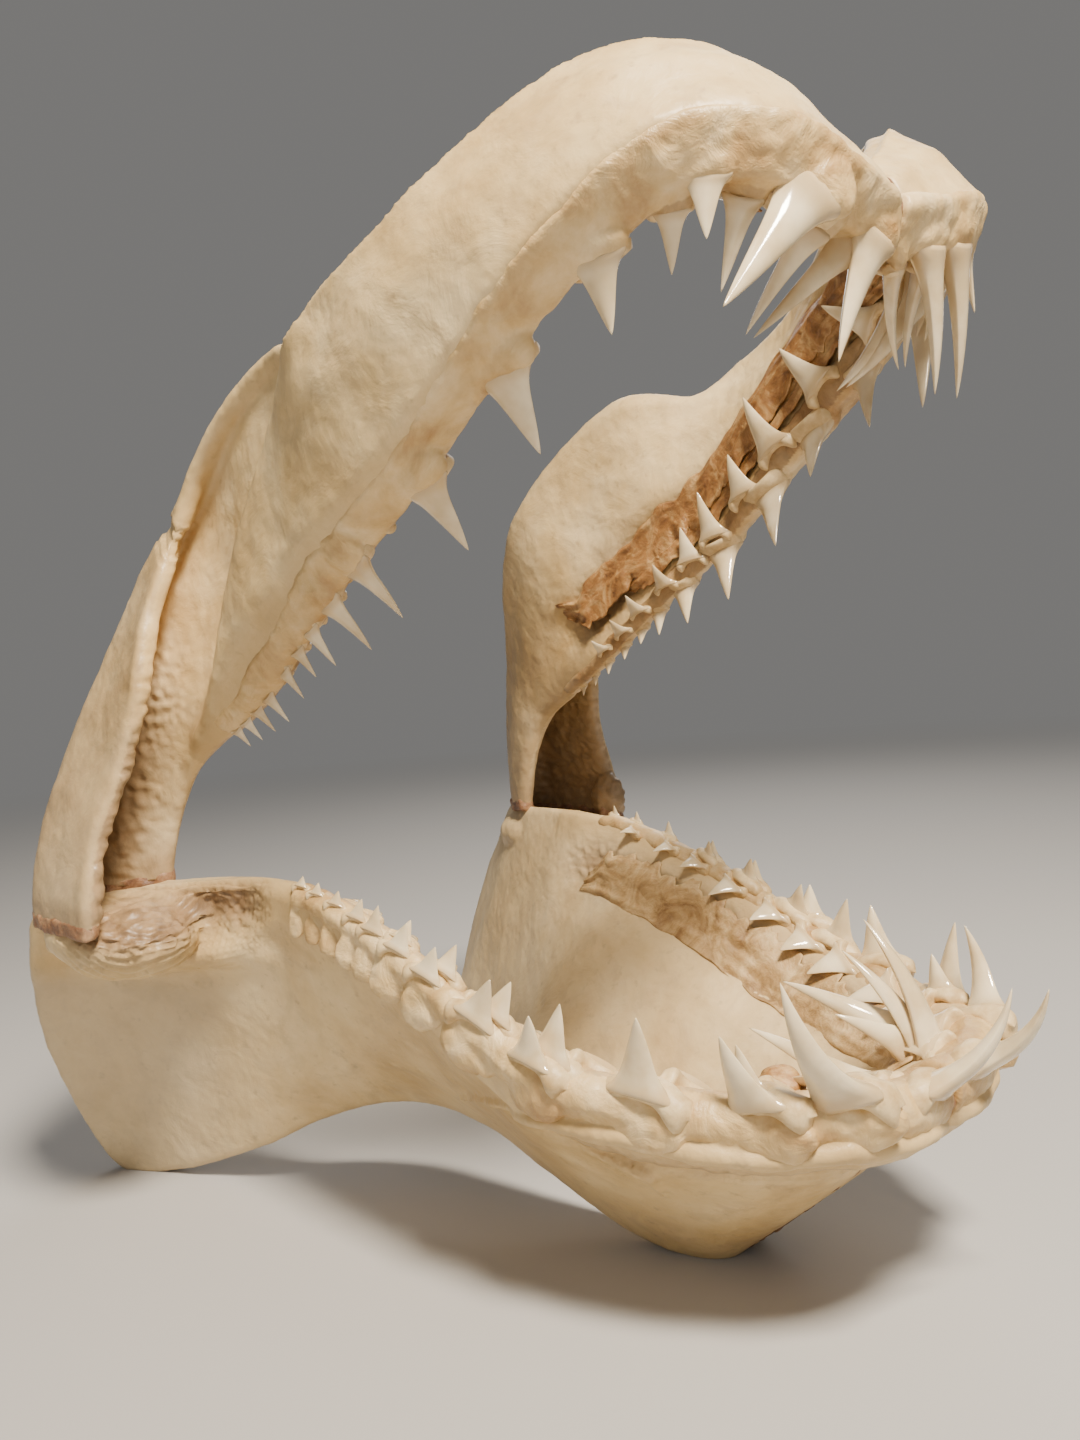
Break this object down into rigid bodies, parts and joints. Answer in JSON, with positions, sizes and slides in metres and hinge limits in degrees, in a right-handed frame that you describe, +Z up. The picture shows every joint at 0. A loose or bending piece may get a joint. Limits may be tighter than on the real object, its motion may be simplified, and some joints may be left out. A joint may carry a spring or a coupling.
{
  "type": "mako shark jaw",
  "caption": "Dried, cleaned jaws of a shortfin mako shark with the mouth wide open, still, standing on the lower jaw.",
  "frame": {"origin": "on the floor, under the middle of the object's box", "axes": "+X the shark's right, +Y forward out of the mouth, +Z up; the jaws rest on the floor at z = 0"},
  "size_m": [0.2398, 0.304, 0.3068],
  "materials": {
    "cartilage": "dry, warm cream, satin, with faint mottling and small pits",
    "gum": "dried yellow-tan gum, lumpy, satin",
    "tooth": "glossy ivory enamel on matt cream roots",
    "ligament": "dried reddish-brown membrane and ligament, satin to glossy"
  },
  "bodies": {
    "root": {"palatoquadrate_right": "cartilage", "palatoquadrate_left": "cartilage", "upper_gum_teeth_right": "gum", "upper_gum_teeth_left": "gum", "hinge_ligament_right": "ligament", "hinge_ligament_left": "ligament", "meckels_cartilage_right": "cartilage", "meckels_cartilage_left": "cartilage", "lower_gum_teeth_right": "gum", "lower_gum_teeth_left": "gum", "upper_symphysis_ligament": "ligament", "lower_symphysis_ligament": "ligament"}
  },
  "joints": []
}
